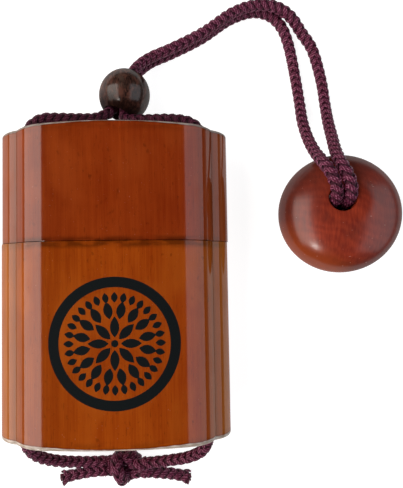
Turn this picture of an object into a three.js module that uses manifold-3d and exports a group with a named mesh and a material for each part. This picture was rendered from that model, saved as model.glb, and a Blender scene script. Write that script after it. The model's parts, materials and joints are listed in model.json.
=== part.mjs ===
// An inro: a small two-part lacquered case, its bead and netsuke, and the one cord that joins them.
// Millimetres, +Z up. The case lies on its back, with its painted face up and its lid towards +Y.
// The origin is the centre of the flat on the case's back.

import * as THREE from 'three';
import { mergeVertices } from 'three/addons/utils/BufferGeometryUtils.js';
import Module from 'manifold-3d';

const wasm = await Module();
wasm.setup();

// Sizes of the case
const caseWidth = 62;
const caseHeight = 82;
const caseThickness = 25.3;
const backFlatDepth = 0.3;
const lidHeight = 30.2;
const seamGap = 0.25;
const lidSideways = 0.2;
const lidRimBevel = 0.45;
const bodyRimBevel = 0.75;

// The panel between the two cord runners, seen in cross-section
const panelHalfWidth = 18.6;
const panelRise = 1.3;
const runnerRadius = 7.2;
const grooveInset = 5.3;

// The hollow, the lip that the lid slides over, and the cord's channels
const frontWall = 3.2;
const cavityHalfWidth = 19.4;
const cavityCornerRadius = 6;
const floorThickness = 3.2;
const lipThickness = 1.3;
const lipHeight = 8.5;
const lipClearance = 0.4;
const channelInset = 6.2;
const channelRadius = 2.2;
const channelFlare = 1.5;

// The cord
const cordDiameter = 3.4;
const cordSides = 8;
const touchGap = 0.3;

// The bead, whose hole leans to the right and down towards its far end
const beadDiameter = 14.6;
const beadHoleDiameter = 7.6;
const beadHoleRounding = 0.6;
const beadX = 3.0;
const beadY = 54.7;
const beadTurnRight = 20;
const beadTipDown = 4;

// The netsuke, a thick button that leans towards the case. Its hole is a little off its middle,
// and its knot lies in a recess below
const netsukeDiameter = 33.6;
const netsukeThickness = 17;
const netsukeFullness = 2.3;
const netsukeHoleDiameter = 7.3;
const netsukeHoleRounding = 0.4;
const netsukeHoleLeft = 0.5;
const netsukeHoleUp = 2.7;
const netsukeRecessDiameter = 12.4;
const netsukeRecessDepth = 5.2;
const netsukeX = 64.4;
const netsukeY = 19.2;
const netsukeCentreHeight = 9.37;
const netsukeLean = 12;
const netsukeNod = 4.5;
const stopperDiameter = 11.2;
const stopperHeight = 4.8;

// The bottom knot's centre on the surface
const knotX = 2.0;
const knotY = -54.0;

// Smoothness of round forms
const panelSegments = 6;
const cornerSegments = 5;
const runnerSegments = 8;
const cavitySegments = 5;
const channelSides = 16;
const beadSides = 36;
const netsukeSides = 44;
const bevelSegments = 2;
const flareSegments = 3;
const ballSegments = 14;
const domeSteps = 11;
const holeSides = 28;
const stopperSides = 16;
const stopperRings = 10;
const mergeDistance = 1e-4;

// Colours
const colours = {
    lid: 0x7a2810,
    body: 0x96420f,
    bead: 0x4b3528,
    netsuke: 0x80301a,
    cord: 0x4a1a34,
};

const roughness = {
    lacquer: 0.25,
    wood: 0.38,
    silk: 0.9,
};

const halfHeight = caseHeight / 2;
const midHeight = caseThickness / 2 - backFlatDepth;
const seamY = halfHeight - lidHeight;
const runnerCentreX = caseWidth / 2 - runnerRadius;
const channelX = caseWidth / 2 - channelInset;
const cordRadius = cordDiameter / 2;
const wholeWidth = 2 * caseWidth;

// A closed mesh as a solid for joining and cutting
function toSolid(geometry) {
    const bare = geometry.clone();
    bare.deleteAttribute('normal');
    bare.deleteAttribute('uv');
    const merged = mergeVertices(bare, mergeDistance);
    return new wasm.Manifold(new wasm.Mesh({
        numProp: 3,
        vertProperties: new Float32Array(merged.attributes.position.array),
        triVerts: new Uint32Array(merged.index.array),
    }));
}

// A solid as a mesh
function toGeometry(solid) {
    const mesh = solid.getMesh();
    const geometry = new THREE.BufferGeometry();
    geometry.setAttribute('position', new THREE.BufferAttribute(new Float32Array(mesh.vertProperties), 3));
    geometry.setIndex(new THREE.BufferAttribute(new Uint32Array(mesh.triVerts), 1));
    geometry.computeVertexNormals();
    return geometry;
}

// A closed mesh turned so that its Z axis becomes -Y: a section drawn in X and Z, run along Y
function alongY(geometry, startY) {
    return geometry.rotateX(Math.PI / 2).translate(0, startY, midHeight);
}

// Points on an arc from one angle to another, without the first
function arcPoints(centre, radius, from, to, segments) {
    const points = [];
    for (let i = 1; i <= segments; i += 1) {
        const angle = from + (to - from) * i / segments;
        points.push(new THREE.Vector2(
            centre.x + radius * Math.cos(angle),
            centre.y + radius * Math.sin(angle),
        ));
    }
    return points;
}

// A quarter of the case's outline: half the crowned panel, its rounded corner, the sharp groove,
// and the round runner out to the case's side
function outlineQuarter() {
    const crownRadius = (panelHalfWidth ** 2 + panelRise ** 2) / (2 * panelRise);
    const crownCentre = new THREE.Vector2(0, caseThickness / 2 - crownRadius);
    const crownAngle = Math.asin(panelHalfWidth / crownRadius);
    const top = Math.PI / 2;
    const crown = arcPoints(crownCentre, crownRadius, top, top - crownAngle, panelSegments);

    const grooveX = caseWidth / 2 - grooveInset;
    const grooveAngle = Math.acos((grooveX - runnerCentreX) / runnerRadius);
    const groove = new THREE.Vector2(grooveX, runnerRadius * Math.sin(grooveAngle));
    const panelEdge = crown[crown.length - 1];
    const chord = groove.clone().sub(panelEdge);
    const halfTurn = -chord.angle() + 2 * Math.PI - crownAngle;
    const cornerRadius = chord.length() / (2 * Math.sin(halfTurn));
    const cornerCentre = crownCentre.clone().sub(panelEdge).setLength(cornerRadius).add(panelEdge);
    const start = top - crownAngle;
    const corner = arcPoints(cornerCentre, cornerRadius, start, start - 2 * halfTurn, cornerSegments);

    const runnerCentre = new THREE.Vector2(runnerCentreX, 0);
    const runner = arcPoints(runnerCentre, runnerRadius, grooveAngle, 0, runnerSegments);
    return [new THREE.Vector2(0, caseThickness / 2), ...crown, ...corner, ...runner];
}

// The whole outline, its quarter mirrored front to back and left to right
function caseOutline() {
    const quarter = outlineQuarter();
    const back = quarter.slice(0, -1).reverse().map((p) => new THREE.Vector2(p.x, -p.y));
    const right = [...quarter, ...back];
    const left = right.slice(1, -1).reverse().map((p) => new THREE.Vector2(-p.x, p.y));
    return new THREE.Shape([...right, ...left].reverse());
}

// The case in one piece, with both rims bevelled and its back planed flat
function caseBlank(rimBevel) {
    const blank = new THREE.ExtrudeGeometry(caseOutline(), {
        depth: caseHeight - 2 * rimBevel,
        bevelEnabled: true,
        bevelThickness: rimBevel,
        bevelSize: rimBevel,
        bevelOffset: -rimBevel,
        bevelSegments,
    });
    const above = new THREE.BoxGeometry(wholeWidth, 2 * caseHeight, 2 * caseThickness);
    above.translate(0, 0, caseThickness);
    return toSolid(alongY(blank, halfHeight - rimBevel)).intersect(toSolid(above));
}

// Everything between two heights along the case
function sliceY(low, high) {
    const slice = new THREE.BoxGeometry(wholeWidth, high - low, 4 * caseThickness);
    return toSolid(slice.translate(0, (low + high) / 2, 0));
}

// A rounded block between two heights along the case, the cavity's section grown by some amount
function roundedBlock(grow, low, high) {
    const halfWidth = cavityHalfWidth + grow;
    const halfDepth = caseThickness / 2 - frontWall + grow;
    const radius = cavityCornerRadius + grow;
    const shape = new THREE.Shape();
    shape.moveTo(halfWidth, radius - halfDepth);
    shape.absarc(halfWidth - radius, halfDepth - radius, radius, 0, Math.PI / 2);
    shape.absarc(radius - halfWidth, halfDepth - radius, radius, Math.PI / 2, Math.PI);
    shape.absarc(radius - halfWidth, radius - halfDepth, radius, Math.PI, 1.5 * Math.PI);
    shape.absarc(halfWidth - radius, radius - halfDepth, radius, 1.5 * Math.PI, 2 * Math.PI);
    const block = new THREE.ExtrudeGeometry(shape, {
        depth: high - low,
        bevelEnabled: false,
        curveSegments: cavitySegments,
    });
    return toSolid(alongY(block, high));
}

// The two channels that carry the cord from end to end, with flared mouths
function cordChannels() {
    const mouth = channelRadius + channelFlare;
    const flareStart = halfHeight - channelFlare;
    const flareCentre = new THREE.Vector2(mouth, flareStart);
    const flare = arcPoints(flareCentre, channelFlare, Math.PI, Math.PI / 2, flareSegments);
    const upper = [
        new THREE.Vector2(channelRadius, flareStart),
        ...flare,
        new THREE.Vector2(mouth, halfHeight + channelFlare),
        new THREE.Vector2(0, halfHeight + channelFlare),
    ];
    const lower = upper.map((p) => new THREE.Vector2(p.x, -p.y)).reverse();
    const cutter = new THREE.LatheGeometry([...lower, ...upper], channelSides);
    const right = toSolid(cutter.clone().translate(channelX, 0, midHeight));
    const left = toSolid(cutter.translate(-channelX, 0, midHeight));
    return right.add(left);
}

function makeBody() {
    const cavityFloor = floorThickness - halfHeight;
    const shell = caseBlank(bodyRimBevel).intersect(sliceY(-caseHeight, seamY));
    const lip = roundedBlock(lipThickness, seamY - lipThickness, seamY + lipHeight);
    const cavity = roundedBlock(0, cavityFloor, seamY + 2 * lipHeight);
    return shell.add(lip).subtract(cavity).subtract(cordChannels());
}

function makeLid() {
    const ceiling = halfHeight - floorThickness;
    const shell = caseBlank(lidRimBevel).intersect(sliceY(seamY + seamGap, caseHeight));
    const socket = roundedBlock(lipThickness + lipClearance, seamY - lipHeight, ceiling);
    return shell.subtract(socket).subtract(cordChannels()).translate([lidSideways, 0, 0]);
}

// Degrees in, a turn about one axis out
function turn(axis, degrees) {
    return new THREE.Matrix4().makeRotationAxis(axis, THREE.MathUtils.degToRad(degrees));
}

const axisX = new THREE.Vector3(1, 0, 0);
const axisY = new THREE.Vector3(0, 1, 0);
const axisZ = new THREE.Vector3(0, 0, 1);

// A ball with a wide hole, whose mouths are rounded over
function makeBead() {
    const radius = beadDiameter / 2;
    const hole = beadHoleDiameter / 2;
    const mouthAngle = Math.asin((hole + beadHoleRounding) / radius);
    const mouthY = radius * Math.cos(mouthAngle);
    const centre = new THREE.Vector2(0, 0);
    const half = Math.PI / 2;
    const ball = arcPoints(centre, radius, mouthAngle - half, half - mouthAngle, ballSegments);
    const profile = [
        new THREE.Vector2(hole, beadHoleRounding - mouthY),
        new THREE.Vector2(hole + beadHoleRounding, -mouthY),
        ...ball,
        new THREE.Vector2(hole, mouthY - beadHoleRounding),
    ];
    const bead = new THREE.LatheGeometry([...profile, profile[0]], beadSides);
    bead.applyMatrix4(turn(axisX, -beadTipDown));
    bead.applyMatrix4(turn(axisZ, -beadTurnRight));
    return toSolid(bead.translate(beadX, beadY, radius));
}

// The netsuke's half-thickness at some distance from its axis
function netsukeRise(distance) {
    const share = distance / (netsukeDiameter / 2);
    return netsukeThickness / 2 * (1 - share ** netsukeFullness) ** (1 / netsukeFullness);
}

// Turns a solid made about +Z to the netsuke's lean, and sets it in its place
function atNetsuke(geometry) {
    geometry.applyMatrix4(turn(axisX, -netsukeNod));
    geometry.applyMatrix4(turn(axisY, -netsukeLean));
    return geometry.translate(netsukeX, netsukeY, netsukeCentreHeight);
}

// Moves what is made about the netsuke's middle to its hole
function toHole(geometry) {
    return geometry.translate(-netsukeHoleLeft, netsukeHoleUp, 0);
}

// A thick button with a domed face and back, without its hole
function netsukeBlank() {
    const outer = netsukeDiameter / 2;
    const profile = [];
    for (let i = 0; i <= 2 * domeSteps; i += 1) {
        const angle = Math.PI / 2 * (i / domeSteps - 1);
        const r = outer * Math.cos(angle);
        profile.push(new THREE.Vector2(r, Math.sign(angle) * netsukeRise(r)));
    }
    return toSolid(atNetsuke(new THREE.LatheGeometry(profile, netsukeSides).rotateX(Math.PI / 2)));
}

// What is cut from the netsuke: the hole, rounded at its upper mouth, and the recess behind it
function netsukeCutter() {
    const hole = netsukeHoleDiameter / 2;
    const recess = netsukeRecessDiameter / 2;
    const mouth = hole + netsukeHoleRounding;
    const face = netsukeRise(mouth);
    const recessTop = netsukeRecessDepth - netsukeRise(recess);
    const edge = new THREE.Vector2(mouth, face - netsukeHoleRounding);
    const profile = [
        new THREE.Vector2(0, -netsukeThickness),
        new THREE.Vector2(recess, -netsukeThickness),
        new THREE.Vector2(recess, recessTop),
        new THREE.Vector2(hole, recessTop),
        new THREE.Vector2(hole, face - netsukeHoleRounding),
        ...arcPoints(edge, netsukeHoleRounding, Math.PI, Math.PI / 2, flareSegments),
        new THREE.Vector2(mouth, netsukeThickness),
        new THREE.Vector2(0, netsukeThickness),
    ];
    const cutter = new THREE.LatheGeometry(profile, holeSides).rotateX(Math.PI / 2);
    return toSolid(atNetsuke(toHole(cutter)));
}

function makeNetsuke() {
    return netsukeBlank().subtract(netsukeCutter());
}

// The knot that stops the cord in the netsuke's recess, as a flattened ball
function makeStopper() {
    const radius = stopperDiameter / 2;
    const knot = new THREE.SphereGeometry(radius, stopperSides, stopperRings).rotateX(Math.PI / 2);
    knot.scale(1, 1, stopperHeight / stopperDiameter);
    const recessTop = netsukeRecessDepth - netsukeRise(netsukeRecessDiameter / 2);
    knot.translate(0, 0, recessTop - touchGap - stopperHeight / 2);
    return toSolid(atNetsuke(toHole(knot)));
}

// A route whose steps fall on its own points, so that bends are given closer points than straights
class Route extends THREE.CatmullRomCurve3 {
    getUtoTmapping(u) {
        return u;
    }
}

// A cord along a route, as a tube with closed ends and a ring at each of the route's points
function cordTube(points) {
    const section = new THREE.Shape();
    for (let i = 0; i < cordSides; i += 1) {
        const angle = 2 * Math.PI * (i + 0.5) / cordSides;
        const x = cordRadius * Math.cos(angle);
        const y = cordRadius * Math.sin(angle);
        if (i === 0) {
            section.moveTo(x, y);
        } else {
            section.lineTo(x, y);
        }
    }
    section.closePath();
    const route = new Route(points.map((p) => new THREE.Vector3(...p)), false, 'centripetal');
    const tube = new THREE.ExtrudeGeometry(section, {
        steps: points.length - 1,
        bevelEnabled: false,
        extrudePath: route,
    });
    return toSolid(tube);
}

// The left strand: from the bottom knot through the left channel, the bead and the netsuke
const leftStrand = [
    [-3.7, -52.2, 2.1],
    [-8.0, -52.1, 2.3],
    [-12.0, -51.9, 3.1],
    [-16.0, -51.0, 4.9],
    [-19.6, -49.6, 7.3],
    [-22.6, -47.3, 9.8],
    [-24.4, -44.4, 11.8],
    [-24.8, -41.0, 12.35],
    [-24.8, -14.0, 12.35],
    [-24.8, 14.0, 12.35],
    [-24.8, 39.6, 12.35],
    [-24.1, 42.4, 12.35],
    [-22.3, 44.7, 12.3],
    [-19.8, 46.0, 12.1],
    [-15.2, 46.3, 11.6],
    [-9.6, 46.5, 10.7],
    [-4.9, 47.1, 9.7],
    [-1.2, 49.4, 8.5],
    [0.6, 53.2, 6.7],
    [2.6, 56.6, 5.5],
    [5.0, 60.1, 4.8],
    [7.6, 63.9, 3.2],
    [11.2, 67.2, 1.9],
    [17.0, 69.8, 1.8],
    [26.8, 74.8, 1.8],
    [36.4, 81.2, 1.8],
    [43.6, 83.4, 1.8],
    [48.6, 82.2, 1.8],
    [51.9, 78.9, 1.8],
    [53.9, 73.8, 1.8],
    [56.1, 62.0, 1.8],
    [56.9, 54.4, 2.4],
    [56.7, 47.6, 4.8],
    [56.8, 41.4, 8.2],
    [57.0, 36.0, 12.6],
    [57.2, 32.2, 16.9],
    [58.1, 28.6, 19.4],
    [59.4, 25.4, 19.2],
    [60.7, 22.6, 16.4],
    [62.7, 21.7, 6.4],
];

// The right strand, which lies on the left one from the bead to the bend
const rightStrand = [
    [8.0, -52.2, 5.2],
    [15.6, -50.7, 7.0],
    [19.8, -49.2, 9.0],
    [23.2, -46.7, 11.2],
    [24.7, -43.8, 12.2],
    [24.8, -41.0, 12.35],
    [24.8, -14.0, 12.35],
    [24.8, 14.0, 12.35],
    [24.8, 39.6, 12.35],
    [24.1, 42.2, 12.35],
    [22.4, 44.2, 12.3],
    [19.8, 45.4, 12.1],
    [15.0, 45.5, 11.4],
    [9.4, 45.0, 10.4],
    [5.0, 45.2, 9.4],
    [2.5, 46.9, 8.8],
    [2.9, 49.4, 8.6],
    [3.9, 52.5, 8.5],
    [4.7, 56.5, 8.6],
    [5.3, 60.7, 8.4],
    [7.6, 64.2, 6.9],
    [11.2, 67.2, 5.5],
    [17.0, 69.8, 5.4],
    [26.8, 74.8, 5.4],
    [36.4, 81.2, 5.4],
    [43.6, 83.4, 5.4],
    [49.4, 82.8, 5.3],
    [54.0, 80.2, 4.6],
    [58.0, 76.4, 2.6],
    [61.3, 72.0, 1.9],
    [64.1, 61.4, 1.9],
    [64.5, 54.0, 3.0],
    [63.9, 47.4, 6.0],
    [63.0, 41.2, 10.1],
    [61.9, 36.0, 14.3],
    [61.3, 32.2, 17.9],
    [61.8, 28.6, 20.2],
    [63.0, 25.4, 19.9],
    [64.15, 22.6, 17.1],
    [66.2, 21.7, 7.1],
];

// The two cut ends that leave the bottom knot
const leftEnd = [
    [-3.7, -55.8, 2.1],
    [-7.6, -56.4, 1.9],
    [-11.2, -56.6, 1.9],
    [-14.8, -56.7, 2.0],
];
const rightEnd = [
    [7.8, -55.8, 5.0],
    [11.8, -55.7, 4.2],
    [16.2, -56.6, 2.6],
    [21.3, -58.3, 2.0],
];

// Half of each hooked turn of the bottom knot, from its leg to its bend, about the knot's centre
const leftTurn = [
    [-5.3, 1.8, 2.1],
    [-2.8, 1.7, 1.8],
    [-0.8, 2.1, 3.0],
    [0.8, 2.4, 4.6],
    [2.3, 2.1, 3.4],
    [3.2, 1.0, 2.0],
];
const leftBend = [3.4, 0, 1.8];
const rightTurn = [
    [5.3, 1.8, 5.1],
    [2.9, 1.7, 5.3],
    [1.2, 1.9, 3.9],
    [-0.2, 2.5, 2.0],
    [-1.8, 2.8, 3.0],
    [-2.7, 1.4, 5.2],
];
const rightBend = [-3.0, 0, 5.5];

// A whole turn: the half, its bend, and the half mirrored
function wholeTurn(half, bend) {
    const mirrored = half.map(([x, y, z]) => [x, -y, z]).reverse();
    return [...half, bend, ...mirrored].map(([x, y, z]) => [knotX + x, knotY + y, z]);
}

// Two hooked turns drawn into one another
function makeBottomKnot() {
    const left = cordTube(wholeTurn(leftTurn, leftBend));
    const right = cordTube(wholeTurn(rightTurn, rightBend));
    return left.add(right);
}

const part = new THREE.Group();

// Adds a solid as a named mesh with its own material
function addPiece(name, solid, color, rough) {
    const material = new THREE.MeshStandardMaterial({ color, roughness: rough, metalness: 0 });
    const mesh = new THREE.Mesh(toGeometry(solid), material);
    mesh.name = name;
    part.add(mesh);
}

addPiece('case_body', makeBody(), colours.body, roughness.lacquer);
addPiece('case_lid', makeLid(), colours.lid, roughness.lacquer);
addPiece('ojime_bead', makeBead(), colours.bead, roughness.wood);
addPiece('netsuke', makeNetsuke(), colours.netsuke, roughness.wood);
addPiece('cord_left', cordTube(leftStrand), colours.cord, roughness.silk);
addPiece('cord_right', cordTube(rightStrand), colours.cord, roughness.silk);
addPiece('cord_end_left', cordTube(leftEnd), colours.cord, roughness.silk);
addPiece('cord_end_right', cordTube(rightEnd), colours.cord, roughness.silk);
addPiece('cord_bottom_knot', makeBottomKnot(), colours.cord, roughness.silk);
addPiece('cord_stopper_knot', makeStopper(), colours.cord, roughness.silk);

export default part;
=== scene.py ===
"""An inro: a small two-part lacquered case, its bead, its netsuke and the braided cord that joins them."""

import json
import math
import random

import bmesh
import bpy
from mathutils import Matrix, Vector

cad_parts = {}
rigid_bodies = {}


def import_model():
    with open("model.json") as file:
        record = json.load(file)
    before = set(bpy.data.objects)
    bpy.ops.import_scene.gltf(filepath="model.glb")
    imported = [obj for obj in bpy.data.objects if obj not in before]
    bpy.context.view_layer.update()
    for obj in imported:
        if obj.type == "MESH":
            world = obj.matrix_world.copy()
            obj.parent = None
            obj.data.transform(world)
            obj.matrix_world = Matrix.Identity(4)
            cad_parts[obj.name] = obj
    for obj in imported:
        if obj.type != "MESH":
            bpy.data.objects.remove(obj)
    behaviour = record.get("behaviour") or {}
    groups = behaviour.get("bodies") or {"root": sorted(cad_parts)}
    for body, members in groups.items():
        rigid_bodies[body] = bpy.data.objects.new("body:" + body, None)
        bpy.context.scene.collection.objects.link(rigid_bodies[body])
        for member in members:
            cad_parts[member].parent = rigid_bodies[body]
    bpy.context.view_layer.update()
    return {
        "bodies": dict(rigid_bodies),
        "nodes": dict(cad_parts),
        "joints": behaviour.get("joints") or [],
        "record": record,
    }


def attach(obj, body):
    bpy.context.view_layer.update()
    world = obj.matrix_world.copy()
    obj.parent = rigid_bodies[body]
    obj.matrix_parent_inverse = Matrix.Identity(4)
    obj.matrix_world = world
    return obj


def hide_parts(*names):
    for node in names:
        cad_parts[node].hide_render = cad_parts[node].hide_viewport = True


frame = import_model()

bl_info = {
    "name": "Inro with bead and netsuke",
    "version": (1, 0, 0),
    "blender": (4, 5, 0),
    "location": "3D View > Sidebar > Inro",
    "description": "A lacquered two-part inro on its back, with its ojime bead, netsuke and braided cord",
    "category": "Add Mesh",
}

MM = 0.001
BODY = "root"
ALONG = (0, 1, 0)
UP = (0, 0, 1)

# Distances in millimetres that count as none: between fitted points, and between doubled ones
NEAR = 0.01
WELD = 0.0005

# The case, in millimetres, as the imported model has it
HALF_HEIGHT = 41.0
THICKNESS = 25.3
MID_HEIGHT = 12.35
SEAM = 10.8
PANEL_HALF_WIDTH = 18.6
PANEL_RISE = 1.3
RUNNER_RADIUS = 7.2
RUNNER_X = 23.8
GROOVE_X = 25.7
CAVITY_HALF_WIDTH = 19.4
CAVITY_HALF_DEPTH = 9.45
CAVITY_RADIUS = 6.0
FLOOR = 3.2
LIP_THICKNESS = 1.3
LIP_HEIGHT = 8.5
LIP_CLEARANCE = 0.4
LIP_ROUNDING = 0.3
CHANNEL_X = 24.8
CHANNEL_RADIUS = 2.2
CHANNEL_FLARE = 1.5
MOUTH_RADIUS = CHANNEL_RADIUS + CHANNEL_FLARE
LID_SIDEWAYS = 0.2
LID_CROWN = (0.3, 0.35)
END_DEPTH = 2.0
SEAM_EDGE = 0.12
ROUNDEL_CENTRE = (-0.13, -14.7, 0)
PANEL_STEPS = 16
CORNER_STEPS = 12
RUNNER_STEPS = 20
CAVITY_CORNER_STEPS = 8
CHANNEL_SIDES = 32
FLARE_STEPS = 4

# Angles, in degrees, past which an edge stays hard
HARD_EDGE = 32
HARD_YARN_EDGE = 75

# The bead and the netsuke
BEAD_CENTRE = (3.0, 54.7, 7.3)
BEAD_PLACE = Matrix.Translation(BEAD_CENTRE) @ Matrix.Rotation(math.radians(-20), 4, "Z")
BEAD_PLACE = BEAD_PLACE @ Matrix.Rotation(math.radians(-4), 4, "X")
BEAD_RADIUS = 7.45
BEAD_HOLE = 3.8
BEAD_ROUNDING = 0.6
BEAD_SIDES = 72
BEAD_ARC_STEPS = 34
BEAD_MOUTH_STEPS = 5
NETSUKE_CENTRE = (64.4, 19.2, 9.37)
NETSUKE_PLACE = Matrix.Translation(NETSUKE_CENTRE) @ Matrix.Rotation(math.radians(-12), 4, "Y")
NETSUKE_PLACE = NETSUKE_PLACE @ Matrix.Rotation(math.radians(-4.5), 4, "X")
NETSUKE_RADIUS = 16.8
NETSUKE_HALF_THICKNESS = 8.5
NETSUKE_FULLNESS = 2.3
NETSUKE_OVAL = (0.985, 1.018, 1)
NETSUKE_HOLE = 3.65
NETSUKE_ROUNDING = 0.4
NETSUKE_HOLE_AT = Vector((-0.5, 2.7))
NETSUKE_SIDES = 96
NETSUKE_ARC_STEPS = 30
NETSUKE_MOUTH_STEPS = 6
RECESS_RADIUS = 6.2
RECESS_DEPTH = 5.2
BELOW_NETSUKE_HOLE = (66, 20.5, 0)

# The strands' routes, in millimetres, each from the bottom knot to the netsuke
LEFT_STRAND = [
    (-3.7, -52.6, 2.1), (-8.0, -52.6, 2.4), (-12.0, -52.2, 3.1), (-16.0, -51.2, 4.9),
    (-19.6, -49.6, 7.3), (-22.6, -47.3, 9.8), (-24.4, -44.4, 11.8), (-24.8, -41.0, 12.35),
    (-24.8, -14.0, 12.35), (-24.8, 14.0, 12.35), (-24.8, 39.6, 12.35), (-24.1, 42.4, 12.35),
    (-22.3, 44.7, 12.3), (-19.8, 46.0, 12.1), (-15.2, 46.3, 11.6), (-9.6, 46.5, 10.7),
    (-4.9, 47.1, 9.7), (-1.2, 49.4, 8.5), (0.6, 53.2, 6.7), (2.6, 56.6, 5.5),
    (5.0, 60.1, 4.8), (7.6, 63.9, 3.2), (11.2, 67.2, 1.9), (17.0, 69.8, 1.8),
    (26.8, 74.8, 1.8), (36.4, 81.2, 1.8), (43.6, 83.4, 1.8), (48.6, 82.2, 1.8),
    (51.9, 78.9, 1.8), (53.9, 73.8, 1.8), (56.1, 62.0, 1.8), (56.9, 54.4, 2.4),
    (56.7, 47.6, 4.8), (56.8, 41.4, 8.2), (57.0, 36.0, 12.6), (57.2, 32.2, 16.9),
    (58.1, 28.6, 19.4), (59.4, 25.4, 19.2), (60.7, 22.6, 16.4), (62.7, 21.7, 6.4),
]
RIGHT_STRAND = [
    (8.0, -52.2, 5.2), (15.6, -50.7, 7.0), (19.8, -49.2, 9.0), (23.2, -46.7, 11.2),
    (24.7, -43.8, 12.2), (24.8, -41.0, 12.35), (24.8, -14.0, 12.35), (24.8, 14.0, 12.35),
    (24.8, 39.6, 12.35), (24.1, 42.2, 12.35), (22.4, 44.2, 12.3), (19.8, 45.4, 12.1),
    (15.0, 45.9, 11.9), (9.5, 45.9, 11.5), (5.6, 46.2, 10.6), (3.2, 47.0, 9.3),
    (2.9, 49.4, 8.6), (3.9, 52.5, 8.5), (4.7, 56.5, 8.6), (5.3, 60.7, 8.4),
    (7.6, 64.2, 6.9), (11.2, 67.2, 5.5), (17.0, 69.8, 5.4), (26.8, 74.8, 5.4),
    (36.4, 81.2, 5.4), (43.6, 83.4, 5.4), (49.4, 82.8, 5.3), (54.0, 80.2, 4.6),
    (58.0, 76.4, 2.6), (61.3, 72.0, 1.9), (64.1, 61.4, 1.9), (64.5, 54.0, 3.0),
    (63.9, 47.4, 6.0), (63.0, 41.2, 10.1), (61.9, 36.0, 14.3), (61.3, 32.2, 17.9),
    (61.8, 28.6, 20.2), (63.0, 25.4, 19.9), (64.15, 22.6, 17.1), (66.2, 21.7, 7.1),
]

# The bottom knot's two turns, measured from its centre, and the two cut ends
KNOT_CENTRE = Vector((2.0, -54.0, 0))
LEFT_TURN = [
    (-2.8, 1.4, 1.8), (-0.8, 2.0, 3.0), (0.8, 2.9, 4.3), (2.4, 3.1, 3.0), (3.5, 1.6, 1.8),
    (3.2, 0.4, 1.8), (2.2, -0.5, 1.9), (1.2, -0.9, 2.9), (0.3, -1.2, 3.6), (-0.9, -1.4, 2.8),
    (-2.8, -1.4, 1.9),
]
RIGHT_TURN = [
    (3.8, 1.2, 5.1), (2.0, 1.7, 3.9), (0.5, 2.7, 2.0), (-1.2, 3.4, 2.4), (-2.5, 2.6, 4.7),
    (-2.5, 1.2, 5.8), (-1.9, -0.6, 6.0), (-1.2, -2.2, 5.4), (-0.6, -3.2, 3.6), (0.3, -3.0, 2.0),
    (1.5, -2.1, 2.4), (2.7, -1.3, 3.6), (4.0, -0.9, 4.0),
]
LEFT_END = [(-3.7, -55.3, 2.1), (-7.6, -55.6, 1.9), (-12.0, -56.2, 1.9), (-17.0, -57.1, 2.2)]
RIGHT_END = [(7.8, -55.1, 3.9), (11.6, -55.8, 3.2), (16.2, -56.7, 2.4), (21.3, -58.0, 2.1)]
RIGHT_TURN_THICKNESS = 1.1

# How far apart the points are along a finished route, and along the curve that it is measured on
ROUTE_STEP = 0.6
FINE_STEP = 0.1

# The braid, in millimetres, as it is on a cord of BRAIDED_DIAMETER
BRAIDED_DIAMETER = 3.4
STRANDS_EACH_WAY = 4
YARNS_IN_STRAND = 3
BRAID_RADIUS = 1.24
OVER_UNDER = 0.24
OUTER_YARN_SINK = 0.07
OUTER_YARN_SHADE = 0.15
BRAID_TWIST_LENGTH = 130
YARN_SPACING = 0.40
YARN_WIDTH = 0.31
YARN_HEIGHT = 0.30
YARN_SIDES = 6
CORE_RADIUS = 0.95
CORE_SIDES = 8
CORE_LANE = 24.5

# The cut ends, whose yarns spread and end unevenly
FRAY_LENGTH = 3.2
FRAY = 0.50
UNEVEN_BY = 0.9
CORE_SHORTER_BY = 1.2
TAIL_THREADS = 9
TAIL_TURN = 2.4
TAIL_SPACING = 0.3
TAIL_OPENING = 0.2
TAIL_THREAD_RADIUS = 0.3
TAIL_HEIGHT = 0.7
TAIL_LANE = 30

# The knot behind the netsuke
STOPPER_POINTS = 36
STOPPER_SIZE = 1.42
STOPPER_WEAVE = 1.05
STOPPER_HALF_HEIGHT = 2.4
STOPPER_GAP = 0.3
STOPPER_STEP = 0.5
STOPPER_THICKNESS = 0.76


# Sizes and colours that a user would change


class InroCaseSettings(bpy.types.PropertyGroup):
    rim_rounding: bpy.props.FloatProperty(
        name="Body rim", description="Rounding of the rim at the body's lower end",
        default=0.00075, unit="LENGTH")
    lid_rim_rounding: bpy.props.FloatProperty(
        name="Lid rim", description="Rounding of the rim at the lid's upper end",
        default=0.00045, unit="LENGTH")
    seam_gap: bpy.props.FloatProperty(
        name="Seam", description="Gap between the body and the lid",
        default=0.00010, unit="LENGTH")
    body_colour: bpy.props.FloatVectorProperty(
        name="Body colour", description="Lacquered wood of the body",
        default=(0.315, 0.054, 0.0034), subtype="COLOR")
    lid_colour: bpy.props.FloatVectorProperty(
        name="Lid colour", description="Lacquered wood of the lid",
        default=(0.245, 0.033, 0.0038), subtype="COLOR")
    roundel_radius: bpy.props.FloatProperty(
        name="Roundel", description="Outer radius of the painted ring on the front",
        default=0.0165, unit="LENGTH")
    roundel_band: bpy.props.FloatProperty(
        name="Ring width", description="Width of the painted ring's band",
        default=0.0026, unit="LENGTH")


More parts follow.
